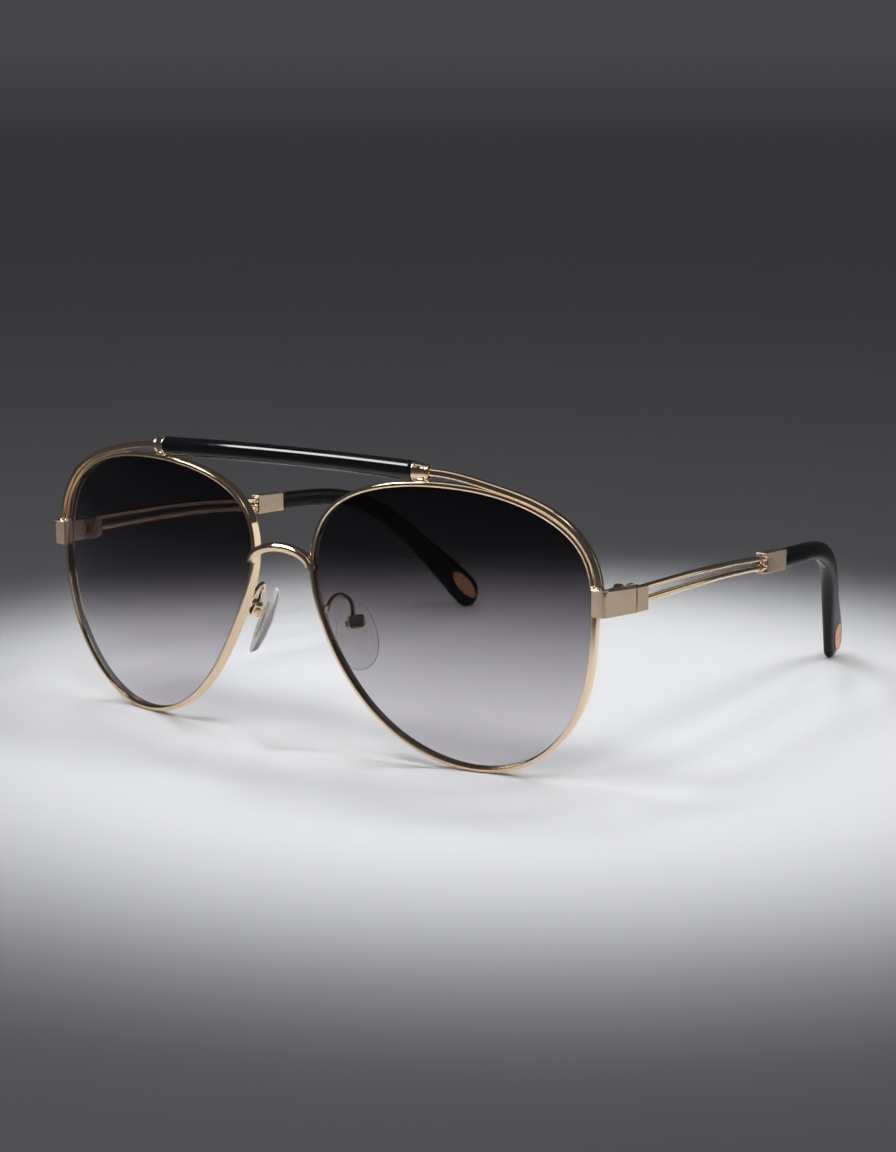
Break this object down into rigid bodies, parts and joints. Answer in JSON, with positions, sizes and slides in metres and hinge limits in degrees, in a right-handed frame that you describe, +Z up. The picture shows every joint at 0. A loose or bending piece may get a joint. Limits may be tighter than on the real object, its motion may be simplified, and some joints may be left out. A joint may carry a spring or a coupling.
{
  "type": "sunglasses",
  "caption": "Aviator sunglasses with thin polished metal rims, gradient lenses under a black brow bar, swivelling clear nose pads and folding wire temples that end in curved black tips.",
  "frame": {"origin": "middle of the footprint, on the surface that the rims and the temple tips stand on", "axes": "+X is the wearer's left, +Y runs from the lenses back along the temples, so the lenses face -Y, and +Z is up"},
  "size_m": [0.141, 0.1404, 0.059],
  "materials": {
    "polished_gold": "polished pale rose gold plating over metal",
    "satin_gold": "satin brushed pale gold plating over metal",
    "screw_gold": "plain gold plated screws, pins and wire cores",
    "black_acetate": "polished black acetate",
    "gradient_lens": "smoke tint, near black at the top fading to light grey below",
    "clear_silicone": "clear soft silicone",
    "amber_plastic": "clear, slightly amber plastic core of the nose pads",
    "copper_oval": "polished copper-toned metal oval, plain"
  },
  "bodies": {
    "front": {"bridge": "polished_gold", "brow_bar": "black_acetate", "brow_core": "screw_gold", "rim_left": "polished_gold", "lens_left": "gradient_lens", "brow_collar_left": "polished_gold", "brow_wire_left": "polished_gold", "end_piece_left": "satin_gold", "rim_lock_screw_left": "screw_gold", "front_hinge_left": "satin_gold", "hinge_screw_left": "screw_gold", "pad_arm_left": "polished_gold", "pad_box_left": "satin_gold", "pad_screw_left": "screw_gold", "rim_right": "polished_gold", "lens_right": "gradient_lens", "brow_collar_right": "polished_gold", "brow_wire_right": "polished_gold", "end_piece_right": "satin_gold", "rim_lock_screw_right": "screw_gold", "front_hinge_right": "satin_gold", "hinge_screw_right": "screw_gold", "pad_arm_right": "polished_gold", "pad_box_right": "satin_gold", "pad_screw_right": "screw_gold"},
    "temple_left": {"temple_block_left": "satin_gold", "temple_hinge_left": "satin_gold", "temple_wire_upper_left": "polished_gold", "temple_wire_lower_left": "polished_gold", "temple_ferrule_left": "satin_gold", "temple_tip_left": "black_acetate", "tip_core_left": "screw_gold", "tip_medallion_left": "copper_oval"},
    "temple_right": {"temple_block_right": "satin_gold", "temple_hinge_right": "satin_gold", "temple_wire_upper_right": "polished_gold", "temple_wire_lower_right": "polished_gold", "temple_ferrule_right": "satin_gold", "temple_tip_right": "black_acetate", "tip_core_right": "screw_gold", "tip_medallion_right": "copper_oval"},
    "pad_left": {"pad_insert_left": "amber_plastic", "nose_pad_left": "clear_silicone"},
    "pad_right": {"pad_insert_right": "amber_plastic", "nose_pad_right": "clear_silicone"}
  },
  "joints": [
    {"name": "temple_left_fold", "type": "hinge", "parent": "front", "child": "temple_left", "pos_m": [0.0664, -0.05242, 0.03465], "axis": [0, 0, 1], "range_deg": [0, 84]},
    {"name": "temple_right_fold", "type": "hinge", "parent": "front", "child": "temple_right", "pos_m": [-0.0664, -0.05242, 0.03465], "axis": [0, 0, -1], "range_deg": [0, 78]},
    {"name": "pad_left_swivel", "type": "hinge", "parent": "front", "child": "pad_left", "pos_m": [0.01254, -0.06117, 0.02464], "axis": [0.6948, 0.7126, 0.0971], "range_deg": [-12, 12]},
    {"name": "pad_right_swivel", "type": "hinge", "parent": "front", "child": "pad_right", "pos_m": [-0.01254, -0.06117, 0.02464], "axis": [-0.6948, 0.7126, 0.0971], "range_deg": [-12, 12]}
  ]
}
